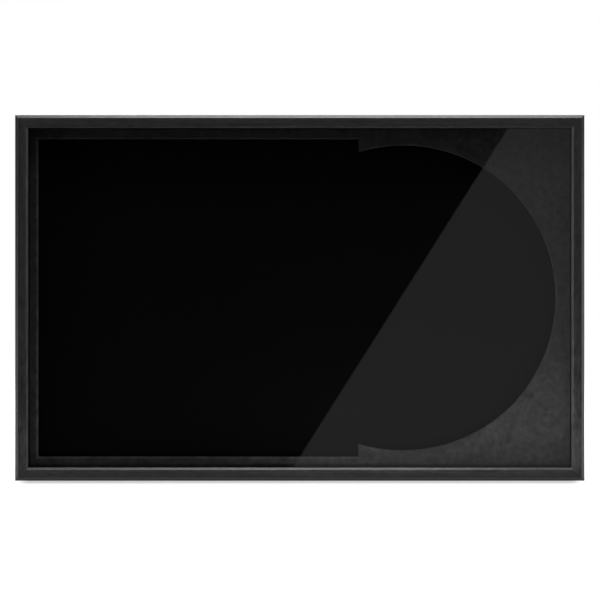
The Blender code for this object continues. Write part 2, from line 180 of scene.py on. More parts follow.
# Tone is the black times one plus each pattern's swing about its middle. Waves across the rail are
# many a metre and waves along it few, so they draw out into lines.
def makeRailFinish(name, along):
    look = railFinish
    made, shade = newFinish(name)

    def drawn(word):
        stretch = [look[word + "Across"]] * 3
        stretch["XYZ".index(along)] = look[word + "Along"]
        return shade.noise(shade.place(stretch), 1.0, 3.0, 0.6)

    grain, fleck = drawn("grain"), drawn("fleck")
    cloud = shade.noise(shade.place(), look["cloudScale"], 3.0, 0.55)
    pebble = shade.noise(shade.place(), look["pebbleScale"], 1.0)
    tone = look["black"] * (1 + (grain - 0.5) * look["grainSpread"] + (fleck - 0.5) * look["fleckSpread"]
                            + (cloud - 0.5) * look["cloudSpread"])
    rubbed = shade.mark("edge") * shade.step(shade.noise(shade.place(), look["rubScale"], 4.0, 0.7),
                                             look["rubFrom"], look["rubTo"])
    tone = tone * (1 + rubbed * look["rubPaler"])
    gloss = look["gloss"] + (cloud - 0.5) * look["glossSpread"] - rubbed * look["rubGloss"]
    height = grain * look["grainDepth"] + fleck * look["fleckDepth"] + pebble * look["pebbleDepth"]
    principled(shade, {"Base Color": tone, "Roughness": gloss, "Normal": shade.bump(height, 1.0)})
    return made


# Clear acrylic: what is behind it shows through, and its two faces together mirror the room,
# that is 2F / (1 + F) of it where one face mirrors F. Wiping left faint smears on it.
glazingFinish = {"clear": 0.985, "index": 1.49, "gloss": 0.012, "smear": 0.028, "smearScale": 26,
                 "smearFrom": 0.5, "smearTo": 0.8, "smearStretch": (1, 1, 0.35)}


def makeGlazingFinish():
    look = glazingFinish
    made, shade = newFinish("clear acrylic sheet")
    outside = 1 - shade.make("NewGeometry", out="Backfacing")
    bounced = shade.make("Fresnel", {}, {"IOR": look["index"]})
    share = bounced * 2 / (1 + bounced) * outside
    through = shade.make("BsdfTransparent", {}, {"Color": (look["clear"], look["clear"], look["clear"], 1)})
    smear = shade.step(shade.noise(shade.place(look["smearStretch"]), look["smearScale"], 4.0, 0.6),
                       look["smearFrom"], look["smearTo"])
    mirror = shade.make("BsdfAnisotropic", {},
                        {"Color": (1, 1, 1, 1), "Roughness": look["gloss"] + smear * look["smear"]})
    finishWith(shade, shade.make("MixShader", {}, {0: share, 1: through, 2: mirror}))
    return made


# Black suede: nap brushed this way and that in patches, with short fibres over it, and a painted
# highlight on the window's rolled edge, paler where the edge mark is set, as if lit from the right
matFinish = {"black": 0.0112, "patchScale": 190, "patchSpread": 3.2, "fibreScale": 1900, "fibreSpread": 0.9,
             "fibreDepth": 0.00012, "rough": 0.96, "shine": 0.2, "sheen": 0.06, "sheenRough": 0.5,
             "rimPaintedHighlight": 1.3}


def makeMatFinish():
    look = matFinish
    made, shade = newFinish("black suede")
    patch = shade.noise(shade.place(), look["patchScale"], 4.0, 0.6)
    fibre = shade.noise(shade.place(), look["fibreScale"], 2.0, 0.7)
    tone = look["black"] * (1 + (patch - 0.5) * look["patchSpread"] + (fibre - 0.5) * look["fibreSpread"])
    # Painted highlight: the rolled edge is paler by so much times its edge mark
    tone = tone * (1 + shade.mark("edge") * look["rimPaintedHighlight"])
    principled(shade, {"Base Color": tone, "Roughness": look["rough"], "Sheen Weight": look["sheen"],
                       "Sheen Roughness": look["sheenRough"], "Specular IOR Level": look["shine"],
                       "Normal": shade.bump(fibre, look["fibreDepth"])})
    return made


# Black felt and flocked board: near black, with loose fibres in every direction
feltFinish = {"black": 0.0007, "fibreScale": 1500, "fibreSpread": 1.2, "patchScale": 60,
              "patchSpread": 0.4, "fibreDepth": 0.0001, "shine": 0.08}


def makeFeltFinish(name, lighter=1.0):
    look = feltFinish
    made, shade = newFinish(name)
    fibre = shade.noise(shade.place(), look["fibreScale"], 3.0, 0.7)
    patch = shade.noise(shade.place(), look["patchScale"], 2.0)
    tone = look["black"] * lighter * (1 + (fibre - 0.5) * look["fibreSpread"]
                                      + (patch - 0.5) * look["patchSpread"])
    principled(shade, {"Base Color": tone, "Roughness": 1.0, "Specular IOR Level": look["shine"],
                       "Normal": shade.bump(fibre, look["fibreDepth"])})
    return made


# Black plastic strips with faint lines drawn along them, their black deepened beyond the plastic's
# to paint the shade in the gap just inside the lip
spacerFinish = {"black": 0.0013, "lineScale": 1400, "lineStretch": (0.02, 1, 0.02), "lineSpread": 0.5,
                "rough": 0.85, "shine": 0.06, "lineDepth": 0.00003}


def makeSpacerFinish():
    look = spacerFinish
    made, shade = newFinish("matt black plastic deepened by painted shade")
    line = shade.noise(shade.place(look["lineStretch"]), look["lineScale"], 1.0)
    tone = look["black"] * (1 + (line - 0.5) * look["lineSpread"])
    principled(shade, {"Base Color": tone, "Roughness": look["rough"], "Specular IOR Level": look["shine"],
                       "Normal": shade.bump(line, look["lineDepth"])})
    return made


# Brown hardboard: pressed fibres, a mottled face, darker specks and the fine mesh of the press
panelFinish = {"light": (0.26, 0.145, 0.07, 1), "dark": (0.14, 0.072, 0.034, 1),
               "speck": (0.05, 0.027, 0.014, 1), "warpScale": 90, "warp": 0.004, "fibreScale": 650,
               "fibreShare": 0.8, "cloudScale": 26, "cloudShare": 0.2, "lightFrom": 0.25, "lightTo": 0.75,
               "speckScale": 330, "speckFrom": 0.66, "speckTo": 0.74, "speckDarker": 0.6,
               "meshPitch": 0.0012, "pitFrom": 0.1, "pitTo": 0.9, "meshDepth": 0.00005, "meshDarker": 0.16,
               "rough": 0.62, "roughSpread": 0.25, "shine": 0.25, "fibreDepth": 0.00008}


def makePanelFinish():
    look = panelFinish
    made, shade = newFinish("brown hardboard")
    where = shade.place()
    warp = shade.make("TexNoise", {}, {"Vector": where, "Scale": look["warpScale"], "Detail": 2.0},
                      out="Color")
    bent = shade.make("VectorMath", {"operation": "MULTIPLY_ADD"},
                      {0: warp, 1: (look["warp"],) * 3, 2: where})
    fibre = shade.noise(bent, look["fibreScale"], 5.0, 0.65)
    cloud = shade.noise(where, look["cloudScale"], 3.0)
    speck = shade.step(shade.noise(bent, look["speckScale"], 2.0), look["speckFrom"], look["speckTo"])
    # Pits where the mesh's two sine waves have a high product: 1 at a pit's middle, 0 between pits
    x, z = [shade.make("SeparateXYZ", {}, {0: where}, out=axis) for axis in (0, 2)]
    waves = [shade.maths("SINE", way * (2 * math.pi / look["meshPitch"])) for way in (x, z)]
    pit = shade.step(waves[0] * waves[1], look["pitFrom"], look["pitTo"])
    share = shade.step(fibre * look["fibreShare"] + cloud * look["cloudShare"],
                       look["lightFrom"], look["lightTo"])
    board = shade.mix(share, look["dark"], look["light"])
    board = shade.mix(pit * look["meshDarker"] + speck * look["speckDarker"], board, look["speck"])
    height = fibre * look["fibreDepth"] - pit * look["meshDepth"]
    principled(shade, {"Base Color": board, "Specular IOR Level": look["shine"],
                       "Roughness": look["rough"] + (fibre - 0.5) * look["roughSpread"],
                       "Normal": shade.bump(height, 1.0)})
    return made


# Nickel plate on pressed steel: faint die marks and a cloudy shine
plateFinish = {"bright": (0.5, 0.485, 0.455, 1), "dull": (0.33, 0.315, 0.29, 1), "markScale": 900,
               "cloudScale": 160, "dullFrom": 0.35, "dullTo": 0.7, "rough": 0.26, "roughSpread": 0.22,
               "markDepth": 0.00002}


def makePlateFinish(name, darker=1.0):
    look = plateFinish
    made, shade = newFinish(name)
    mark = shade.noise(shade.place(), look["markScale"], 3.0, 0.6)
    cloud = shade.noise(shade.place(), look["cloudScale"], 3.0)
    tint = shade.mix(shade.step(cloud, look["dullFrom"], look["dullTo"]), look["bright"], look["dull"])
    dim = shade.make("Mix", {"data_type": "RGBA", "blend_type": "MULTIPLY"},
                     {0: 1.0, 6: tint, 7: (darker, darker, darker, 1)}, out=2)
    principled(shade, {"Base Color": dim, "Metallic": 1.0,
                       "Roughness": look["rough"] + (mark - 0.5) * look["roughSpread"],
                       "Normal": shade.bump(mark, look["markDepth"])})
    return made


# Moulded black rubber, a little dusty
bumperFinish = {"black": 0.014, "dust": 0.05, "dustScale": 500, "dustFrom": 0.5, "dustTo": 0.8,
                "rough": 0.8, "grainScale": 2500, "grainDepth": 0.00005}


def makeBumperFinish():
    look = bumperFinish
    made, shade = newFinish("moulded black rubber")
    dust = shade.step(shade.noise(shade.place(), look["dustScale"], 4.0, 0.7),
                      look["dustFrom"], look["dustTo"])
    grain = shade.noise(shade.place(), look["grainScale"], 2.0)
    principled(shade, {"Base Color": look["black"] + dust * look["dust"], "Roughness": look["rough"],
                       "Normal": shade.bump(grain, look["grainDepth"])})
    return made


print("finishes")
finishes = {"railAcross": makeRailFinish("satin black lacquer, grain across", "X"),
            "railUpright": makeRailFinish("satin black lacquer, grain upright", "Z"),
            "glazing": makeGlazingFinish(), "mat": makeMatFinish(), "lining": makeFeltFinish("black felt"),
            "nest": makeFeltFinish("black flocked board", lighter=1.6), "spacer": makeSpacerFinish(),
            "panel": makePanelFinish(), "plate": makePlateFinish("nickel plate"),
            "nail": makePlateFinish("plain nail steel", darker=0.8), "bumper": makeBumperFinish()}
dress(["glazing"], finishes["glazing"])
dress(["panel_lining"], finishes["lining"])
dress(["record_nest"], finishes["nest"])
dress(["spacer_" + side for side in sides], finishes["spacer"])
dress(["back_panel"], finishes["panel"])


# A closed piece from a grid of points whose columns run round. Its first and last rows are
# joined to each other, or closed by flat ends, or meet in poles. Points in one place are merged.
def makePiece(node, word, points, finish, closedRows=False, ends=False, sharp=35, marks=None):
    rows, columns = points.shape[:2]
    index = np.arange(rows * columns).reshape(rows, columns)
    index = np.hstack([index, index[:, :1]])
    if closedRows:
        index = np.vstack([index, index[:1]])
    faces = np.stack([index[:-1, :-1], index[:-1, 1:], index[1:, 1:], index[1:, :-1]], axis=-1)
    faces = faces.reshape(-1, 4).tolist()
    if ends:
        faces += [index[0, :-1].tolist(), index[-1, :-1].tolist()]
    mesh = bpy.data.meshes.new(node + "_" + word)
    mesh.from_pydata(points.reshape(-1, 3).tolist(), [], faces)
    if marks is not None:
        mesh.attributes.new("edge", "FLOAT", "POINT").data.foreach_set("value", marks.ravel())
    shape = bmesh.new()
    shape.from_mesh(mesh)
    bmesh.ops.remove_doubles(shape, verts=shape.verts, dist=1e-6)
    bmesh.ops.recalc_face_normals(shape, faces=shape.faces)
    shape.to_mesh(mesh)
    shape.free()
    mesh.shade_smooth()
    mesh.set_sharp_from_angle(angle=math.radians(sharp))
    mesh.materials.append(finish)
    piece = bpy.data.objects.new(mesh.name, mesh)
    bpy.context.scene.collection.objects.link(piece)
    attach(piece, bodyOf[node])
    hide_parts(node)
    return piece


# The middle of a node's box
def middle(node):
    low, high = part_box(node)
    return np.array([(low[axis] + high[axis]) / 2 for axis in range(3)])


# An outline with rounded corners. Each corner gives two coordinates and a radius, and its arc
# turns about the point that lies one radius inside both of its sides.
def rounded(cornerList, steps):
    corner = np.array(cornerList, float)
    points, radius = corner[:, :2], corner[:, 2]
    before = points - np.roll(points, 1, axis=0)
    after = np.roll(points, -1, axis=0) - points
    arriving = before / np.linalg.norm(before, axis=1, keepdims=True)
    leaving = after / np.linalg.norm(after, axis=1, keepdims=True)
    turn = np.arctan2(arriving[:, 0] * leaving[:, 1] - arriving[:, 1] * leaving[:, 0],
                      (arriving * leaving).sum(axis=1))
    reach = radius * np.tan(np.abs(turn) / 2)
    inward = np.stack([-arriving[:, 1], arriving[:, 0]], axis=1) * np.sign(turn)[:, None]
    centre = points - arriving * reach[:, None] + inward * radius[:, None]
    arm = -inward * radius[:, None]
    swing = turn[:, None] * np.linspace(0, 1, steps + 1)
    first = centre[:, 0, None] + arm[:, 0, None] * np.cos(swing) - arm[:, 1, None] * np.sin(swing)
    second = centre[:, 1, None] + arm[:, 0, None] * np.sin(swing) + arm[:, 1, None] * np.cos(swing)
    return np.stack([first, second], axis=-1).reshape(-1, 2)


# A closed outline again, each of its stretches parted equally into lengths of about one step
def finer(outline, step):
    ahead = np.roll(outline, -1, axis=0)
    counts = np.maximum(1, np.round(np.linalg.norm(ahead - outline, axis=1) / step)).astype(int)
    within = np.arange(counts.sum()) - np.repeat(np.cumsum(counts) - counts, counts)
    share = (within / np.repeat(counts, counts))[:, None]
    return np.repeat(outline, counts, axis=0) * (1 - share) + np.repeat(ahead, counts, axis=0) * share


# Rails: a moulding's section, inward from the outer face and back from the front
railShape = {"face": 0.0127, "wall": 0.008, "lip": 0.004, "chamfer": 0.0031, "bevelAcross": 0.0021,
             "bevelDeep": 0.0016, "backChamfer": 0.0006, "ease": 0.00045, "innerEase": 0.0001,
             "easeSteps": 6, "step": 0.0013, "stations": 61, "edgeReach": 0.0006}


# Each point of the section runs the rail's length, and stops at the mitre: half the length less
# its own distance inward. The edge mark fades with the distance from the section's corners.
def makeRail(side):
    look = railShape
    low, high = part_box(side + "_rail")
    depth = high[1] - low[1]
    face, wall, lip, ease, slight = look["face"], look["wall"], look["lip"], look["ease"], look["innerEase"]
    cornerList = [(look["chamfer"], 0, ease), (face - look["bevelAcross"], 0, ease),
                  (face, look["bevelDeep"], ease), (face, lip, slight), (wall, lip, slight),
                  (wall, depth, slight), (look["backChamfer"], depth, slight),
                  (0, depth - look["backChamfer"], slight), (0, look["chamfer"], ease)]
    section = finer(rounded(cornerList, look["easeSteps"]), look["step"])
    inward, back = section[:, 0], section[:, 1]
    upright = side in ("left", "right")
    axis = 2 if upright else 0
    half = (high[axis] - low[axis]) / 2
    centre = (high[axis] + low[axis]) / 2
    along = centre + np.linspace(-1, 1, look["stations"])[:, None] * (half - inward)
    inward = np.broadcast_to(inward, along.shape)
    front = np.broadcast_to(low[1] + back, along.shape)
    if upright:
        across = low[0] + inward if side == "left" else high[0] - inward
        points = np.stack([across, front, along], axis=-1)
    else:
        across = low[2] + inward if side == "bottom" else high[2] - inward
        points = np.stack([along, front, across], axis=-1)
    place = np.array(cornerList)[:, :2]
    away = np.linalg.norm(section[:, None] - place[None], axis=-1).min(axis=1)
    marks = np.broadcast_to(np.exp(-(away / look["edgeReach"]) ** 2), along.shape)
    finish = finishes["railUpright" if upright else "railAcross"]
    makePiece(side + "_rail", "moulding", points, finish, ends=True, sharp=30, marks=marks)


# Window mat: the sleeve's rectangle and the record's circle as one outline
matShape = {"recordAcross": 0.3016, "recordLap": 0.00205, "sleeveRoom": 0.0134, "sleeveLap": 0.0012,
            "left": 0.0075, "right": 0.013, "ends": 0.0093, "roll": 0.0012, "rollSteps": 9, "arcSteps": 90,
            "sideSteps": 40, "notchSteps": 10, "flat": 0.0012, "rings": 5, "paintedHighlightBelow": 0.5}


# Upper half from the circle's right end, along the arc to where it crosses the rectangle's right
# side, up that side, along the top and half way down the left; the lower half mirrors it.
# Grown is how far the outline is moved outwards, and at is where the arc and the top are parted.
def windowOutline(plan, grown, at):
    look = matShape
    radius = plan["radius"] + grown
    left, right, top = plan["left"] - grown, plan["right"] + grown, plan["top"] + grown
    beside = right - plan["recordX"]
    sweep = math.atan2(math.sqrt(radius ** 2 - beside ** 2), beside)
    turn = np.concatenate([np.linspace(0, at[0], look["arcSteps"], endpoint=False),
                           np.linspace(at[0], sweep, look["arcSteps"], endpoint=False)])
    arc = np.stack([plan["recordX"] + radius * np.cos(turn), radius * np.sin(turn)], axis=1)
    notch = np.linspace(radius * math.sin(sweep), top, look["notchSteps"], endpoint=False)
    ceiling = np.concatenate([np.linspace(right, at[1], look["sideSteps"], endpoint=False),
                              np.linspace(at[1], left, look["notchSteps"], endpoint=False)])
    flank = np.linspace(top, 0, look["sideSteps"])
    upper = np.concatenate([arc, np.stack([np.full_like(notch, right), notch], axis=1),
                            np.stack([ceiling, np.full_like(ceiling, top)], axis=1),
                            np.stack([np.full_like(flank, left), flank], axis=1)])
    return np.concatenate([upper, upper[-2:0:-1] * (1, -1)])


# Rows go from the sheet's outer edge over its face to the window, round the roll and back behind.
# Rays from the middle carry the window's outline to the sheet's edge, and two pass its corners.
def makeMat():
    look = matShape
    low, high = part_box("window_mat")
    centre = middle("window_mat")
    wide, tall = (high[0] - low[0]) / 2, (high[2] - low[2]) / 2
    sightLeft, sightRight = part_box("left_rail")[1][0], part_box("right_rail")[0][0]
    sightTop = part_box("top_rail")[0][2] - centre[2]
    plan = {"left": sightLeft + look["left"], "top": sightTop - look["ends"]}
    plan["right"] = plan["left"] + look["recordAcross"] + look["sleeveRoom"] - 2 * look["sleeveLap"]
    plan["radius"] = look["recordAcross"] / 2 - look["recordLap"]
    plan["recordX"] = sightRight - look["right"] - plan["radius"]
    grown = look["roll"] + look["flat"]
    radius, recordX, reach = plan["radius"] + grown, plan["recordX"], wide ** 2 + tall ** 2
    ray = (wide * recordX + math.sqrt((wide * recordX) ** 2 - reach * (recordX ** 2 - radius ** 2))) / reach
    at = (math.atan2(ray * tall, ray * wide - recordX), -wide * (plan["top"] + grown) / tall)
    inner = windowOutline(plan, grown, at)
    size = np.maximum(np.abs(inner), 1e-9)
    outer = inner * np.minimum(wide / size[:, :1], tall / size[:, 1:])
    share = np.linspace(0, 1, look["rings"])[:, None, None]
    face = outer * (1 - share) + inner * share
    turn = np.linspace(0, math.pi / 2, look["rollSteps"])
    roll = np.stack([windowOutline(plan, look["roll"] * (1 - math.sin(swing)), at) for swing in turn])
    rollBack = look["roll"] * (1 - np.cos(turn))
    flat = np.concatenate([face, roll, roll[-1:], outer[None]])
    thick = high[1] - low[1]
    back = np.concatenate([np.zeros(look["rings"]), rollBack, [thick, thick]])
    points = np.stack([flat[..., 0], np.broadcast_to(low[1] + back[:, None], flat.shape[:2]),
                       flat[..., 1] + centre[2]], axis=-1)
    # A painted highlight: the edge mark is set on the roll where it faces right, left of the window, and
    # less so below it, as if light fell from the right
    rim = np.concatenate([np.zeros(look["rings"]), np.ones(look["rollSteps"] + 1), [0]])
    below = np.where(inner[:, 1] < -plan["top"], look["paintedHighlightBelow"], 0.0)
    paintedHighlightShare = np.where(inner[:, 0] < plan["left"], 1.0, below)
    marks = rim[:, None] * paintedHighlightShare
    makePiece("window_mat", "covered", points, finishes["mat"], closedRows=True, sharp=50, marks=marks)


# A profile of radius and depth turned about an axis along Y; a radius of zero is a pole
def turned(profile, centre, steps):
    turn = np.linspace(0, 2 * math.pi, steps, endpoint=False)
    radius, depth = profile[:, :1], profile[:, 1:]
    return np.stack([centre[0] + radius * np.cos(turn), depth + 0 * turn,
                     centre[2] + radius * np.sin(turn)], axis=-1)


# A head: its underside, a short straight rim and a quarter of an ellipse up to the pole
headShape = {"underShare": 0.96, "rimLift": 0.25}


def domed(radius, under, top, rimShare, steps):
    turn = np.linspace(0, math.pi / 2, steps)
    rim = under + (top - under) * rimShare
    dome = np.stack([radius * np.cos(turn), rim + (top - rim) * np.sin(turn)], axis=1)
    dome[-1, 0] = 0
    return np.concatenate([[(radius * headShape["underShare"], under),
                            (radius, under + (rim - under) * headShape["rimLift"])], dome])


# Rivets: a flared foot, a shank and a domed head, turned about the rivet's axis
rivetShape = {"shank": 0.0015, "head": 0.0026, "headHigh": 0.001, "rimShare": 0.25, "flare": 0.0023,
              "flareHigh": 0.0007, "toeShare": 0.7, "toeLift": 0.1, "flareLift": 0.5, "domeSteps": 14,
              "steps": 56}


def makeRivet(side):
    look = rivetShape
    node = "hanger_rivet_" + side
    low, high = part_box(node)
    under = high[1] - look["headHigh"]
    flare, tall = look["flare"], look["flareHigh"]
    foot = [(0, low[1]), (flare * look["toeShare"], low[1] + tall * look["toeLift"]),
            (flare, low[1] + tall * look["flareLift"]), (flare, low[1] + tall),
            (look["shank"], low[1] + tall), (look["shank"], under)]
    profile = np.concatenate([foot, domed(look["head"], under, high[1], look["rimShare"],
                                          look["domeSteps"])])
    makePiece(node, "domed", turned(profile, middle(node), look["steps"]), finishes["plate"], sharp=40)


# Pan-head screws with a crossed recess: the dome less the recess's depth, which runs out smoothly
# over the walls of two crossed arms. The arms narrow towards their ends.
screwShape = {"shank": 0.0014, "tipShare": 0.96, "point": 0.002, "pointEase": 0.0002, "head": 0.0029,
              "headHigh": 0.0017, "rimShare": 0.3, "arm": 0.0017, "armWide": 0.0004, "armTaper": 0.35,
              "wall": 0.00014, "recess": 0.0009, "domeSteps": 44, "steps": 112}


def makeScrew(button):
    look = screwShape
    node = "button_screw_" + button
    low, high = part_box(node)
    centre = middle(node)
    under = high[1] - look["headHigh"]
    shank, point = look["shank"], low[1] + look["point"]
    foot = [(0, low[1]), (shank * look["tipShare"], point), (shank, point + look["pointEase"]),
            (shank, under)]
    profile = np.concatenate([foot, domed(look["head"], under, high[1], look["rimShare"],
                                          look["domeSteps"])])
    points = turned(profile, centre, look["steps"])
    across, up = np.abs(points[..., 0] - centre[0]), np.abs(points[..., 2] - centre[2])

    def inArm(length, width):
        inLength = np.clip((look["arm"] - length) / look["wall"], 0, 1)
        half = look["armWide"] * (1 - look["armTaper"] * length / look["arm"])
        return inLength * np.clip((half - width) / look["wall"] + 0.5, 0, 1)

    cut = np.maximum(inArm(across, up), inArm(up, across))
    cut = cut * cut * (3 - 2 * cut)
    cut[:len(foot) + 2] = 0
    points[..., 1] -= cut * look["recess"]
    makePiece(node, "crossed", points, finishes["plate"], sharp=40)


# Turn buttons: the line drawn tightly round a large circle at the pivot and a small one at the
# tip, less the hole. Rows run from the hole along the underside to the rim, and back over the top.
buttonShape = {"eye": 0.0037, "tip": 0.0023, "hole": 0.0017, "ease": 0.00028, "easeSteps": 5,
               "tipSteps": 24, "sideSteps": 24, "eyeSteps": 32}


# From the pivot, a direction meets the eye's circle, the tip's circle or the straight side between,
# which lies one eye's radius from the pivot, square to the lean.
def teardropReach(turn, eye, tip, reach):
    lean = math.acos((eye - tip) / reach)
    turn = np.abs(turn)
    side = eye / np.maximum(np.cos(lean - turn), 1e-3)
    root = np.sqrt(np.maximum(tip ** 2 - (reach * np.sin(turn)) ** 2, 0))
    ahead = reach * np.cos(turn) + root
    last = math.atan2(tip * math.sin(lean), reach + tip * math.cos(lean))
    return np.where(turn < last, ahead, np.where(turn < lean, side, eye))


def makeButton(button):
    look = buttonShape
    node = "turn_button_" + button
    low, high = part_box(node)
    pivot = middle("button_screw_" + button)
    spans = np.array([pivot[0] - low[0], high[0] - pivot[0], pivot[2] - low[2], high[2] - pivot[2]])
    way = (math.pi, 0, -math.pi / 2, math.pi / 2)[int(spans.argmax())]
    reach = spans.max() - look["tip"]
    lean = math.acos((look["eye"] - look["tip"]) / reach)
    last = math.atan2(look["tip"] * math.sin(lean), reach + look["tip"] * math.cos(lean))
    half = np.concatenate([np.linspace(0, last, look["tipSteps"], endpoint=False),
                           np.linspace(last, lean, look["sideSteps"], endpoint=False),
                           np.linspace(lean, math.pi, look["eyeSteps"])])
    turn = np.concatenate([half, -half[-2:0:-1]])
    ease = look["ease"]
    swing = np.linspace(0, math.pi / 2, look["easeSteps"])
    shrink = ease * (1 - np.sin(swing))
    lift = ease * (1 - np.cos(swing))
    hole, wider = np.full_like(turn, look["hole"]), np.full_like(turn, look["hole"] + ease / 2)
    outer = [teardropReach(turn, look["eye"] - less, look["tip"] - less, reach) for less in shrink]
    rows = [(hole, low[1] + ease / 2), (wider, low[1])]
    rows += [(outer[step], low[1] + lift[step]) for step in range(look["easeSteps"])]
    rows += [(outer[step], high[1] - lift[step]) for step in reversed(range(look["easeSteps"]))]
    rows += [(wider, high[1]), (hole, high[1] - ease / 2)]
    radius = np.stack([row[0] for row in rows])
    depth = np.stack([np.full_like(turn, row[1]) for row in rows])
    points = np.stack([pivot[0] + radius * np.cos(turn + way), depth,
                       pivot[2] + radius * np.sin(turn + way)], axis=-1)
    makePiece(node, "pressed", points, finishes["plate"], closedRows=True, sharp=35)


# Hanger rings: round wire carried along a closed loop whose straight bar is the hinge
ringShape = {"wire": 0.001, "corner": 0.0016, "bowShare": 0.93, "cornerSteps": 16, "step": 0.0007,
             "wireSteps": 26}


def makeRing(side):
    look = ringShape
    node = "hanger_ring_" + side
    low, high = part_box(node)
    centre = middle(node)
    half = (high[0] - low[0]) / 2 - look["wire"]
    top, bottom = high[2] - look["wire"], low[2] + look["wire"]
    bow = half * look["bowShare"]
    cornerList = [(-half, top, look["corner"]), (half, top, look["corner"]), (half, bottom, bow),
                  (-half, bottom, bow)]
    path = finer(rounded(cornerList, look["cornerSteps"]), look["step"])
    along = np.roll(path, -1, axis=0) - np.roll(path, 1, axis=0)
    along /= np.linalg.norm(along, axis=1, keepdims=True)
    outward = np.stack([-along[:, 1], along[:, 0]], axis=1)
    turn = np.linspace(0, 2 * math.pi, look["wireSteps"], endpoint=False)
    flat = path[:, None] + outward[:, None] * (look["wire"] * np.cos(turn))[None, :, None]
    depth = np.broadcast_to(centre[1] + look["wire"] * np.sin(turn), flat.shape[:2])
    points = np.stack([centre[0] + flat[..., 0], depth, flat[..., 1]], axis=-1)
    makePiece(node, "wire", points, finishes["plate"], closedRows=True, sharp=60)


# Hanger straps: sheet that runs up the panel, round the ring's bar and back down on itself.
# Its middle line is offset half its thickness to both sides, and its tail follows a round end.
strapShape = {"sheet": 0.0008, "leafGap": 0.00003, "leaves": -60, "bend": 0.0007, "bendSteps": 8,
              "loopSteps": 40, "tailSteps": 14, "endSteps": 9, "edge": 0.00022, "edgeSteps": 5,
              "thinnest": 0.06, "stations": 40}


def makeStrap(side):
    look = strapShape
    node = "hanger_strap_" + side
    low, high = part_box(node)
    sheet = look["sheet"] - look["leafGap"] / 2
    knuckle = (high[1] - low[1]) / 2
    centre = np.array([(low[0] + high[0]) / 2, low[1] + knuckle, high[2] - knuckle])
    half = (high[0] - low[0]) / 2
    radius = knuckle - look["sheet"] / 2
    end = low[2] - centre[2]
    outer = -radius + sheet + look["leafGap"]
    leaves = math.radians(look["leaves"])
    turn = np.linspace(math.pi, leaves, look["loopSteps"])
    loop = np.stack([radius * np.cos(turn), radius * np.sin(turn)], axis=1)
    run = (loop[-1, 0] - outer) / -math.sin(leaves)
    bendAt = np.array([outer, loop[-1, 1] - run * math.cos(leaves)])
    # The bend back is a quadratic curve about the place where the two straight runs would meet
    share = np.linspace(0, 1, look["bendSteps"])[:, None]
    arrive = bendAt + (loop[-1] - bendAt) * (look["bend"] / run)
    leave = bendAt - np.array([0, look["bend"]])
    bend = arrive * (1 - share) ** 2 + bendAt * 2 * share * (1 - share) + leave * share ** 2
    tail = np.linspace(0, 1, look["tailSteps"])[1:, None]
    outerTail = leave + (np.array([outer, end]) - leave) * tail
    innerTail = loop[0] + (np.array([-radius, end]) - loop[0]) * tail
    line = np.concatenate([innerTail[::-1], loop, bend, outerTail])
    follows = np.concatenate([tail[::-1, 0], np.zeros(look["loopSteps"] + look["bendSteps"]), tail[:, 0]])
    along = np.gradient(line, axis=0)
    along /= np.linalg.norm(along, axis=1, keepdims=True)
    normal = np.stack([-along[:, 1], along[:, 0]], axis=1)
    thick = sheet / 2
    swing = np.linspace(-math.pi / 2, math.pi / 2, look["endSteps"])[1:-1, None]
    lastEnd = thick * (along[-1] * np.cos(swing) - normal[-1] * np.sin(swing))
    firstEnd = thick * (-along[0] * np.cos(swing) + normal[0] * np.sin(swing))
    # Round the section: one side of the line, its last end, the other side, its first end
    base = np.concatenate([line, np.repeat(line[-1:], len(swing), axis=0), line[::-1],
                           np.repeat(line[:1], len(swing), axis=0)])
    away = np.concatenate([normal * thick, lastEnd, -normal[::-1] * thick, firstEnd])
    follows = np.concatenate([follows, np.ones(len(swing)), follows[::-1], np.ones(len(swing))])
    swing = np.linspace(-math.pi / 2, math.pi / 2, look["stations"])
    across = (half - look["edge"]) * np.sin(swing)
    rim = look["edge"] * np.sin(np.linspace(0, math.pi / 2, look["edgeSteps"]))[1:]
    across = np.concatenate([-(half - look["edge"] + rim[::-1]), across, half - look["edge"] + rim])
    inRim = (np.abs(across) - half + look["edge"]).clip(0) / look["edge"]
    thinner = np.sqrt(np.clip(1 - inRim ** 2, look["thinnest"], 1))
    lifted = half - np.sqrt(np.clip(half ** 2 - across ** 2, 0, None)) + thick
    section = base[None] + away[None] * thinner[:, None, None]
    up = section[..., 1] + follows[None] * lifted[:, None]
    points = np.stack([np.broadcast_to(centre[0] + across[:, None], up.shape), centre[1] + section[..., 0],
                       centre[2] + up], axis=-1)
    makePiece(node, "folded", points, finishes["plate"], ends=True, sharp=50)


# V nails: two legs of sheet that meet in a small bend, driven level with the back of the rails
nailShape = {"sheet": 0.0007, "proud": 0.00004, "bend": 0.0009, "ease": 0.00015, "easeLift": 0.3,
             "easeShare": 0.35, "easeReach": 0.5, "steps": 5}


def makeNail(corner):
    look = nailShape
    node = "corner_nail_" + corner
    low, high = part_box(node)
    leg, thin = high[0] - low[0], look["sheet"]
    signX = 1 if "left" in corner else -1
    signZ = -1 if "top" in corner else 1
    startX = low[0] if signX > 0 else high[0]
    startZ = low[2] if signZ > 0 else high[2]
    outline = rounded([(0, 0, look["bend"]), (leg, 0, look["ease"]), (leg, thin, look["ease"]),
                       (thin, thin, look["ease"]), (thin, leg, look["ease"]),
                       (0, leg, look["ease"])], look["steps"])
    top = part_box("top_rail")[1][1] + look["proud"]
    depth = np.array([low[1], top - look["ease"], top - look["ease"] * look["easeLift"], top])
    shrink = np.array([0, 0, look["easeShare"], 1]) * look["ease"]
    inside = outline.mean(axis=0)
    toInside = inside - outline
    toInside /= np.linalg.norm(toInside, axis=1, keepdims=True)
    flat = outline[None] + toInside[None] * shrink[:, None, None] * look["easeReach"]
    points = np.stack([startX + signX * flat[..., 0], np.broadcast_to(depth[:, None], flat.shape[:2]),
                       startZ + signZ * flat[..., 1]], axis=-1)
    makePiece(node, "driven", points, finishes["nail"], ends=True, sharp=40)


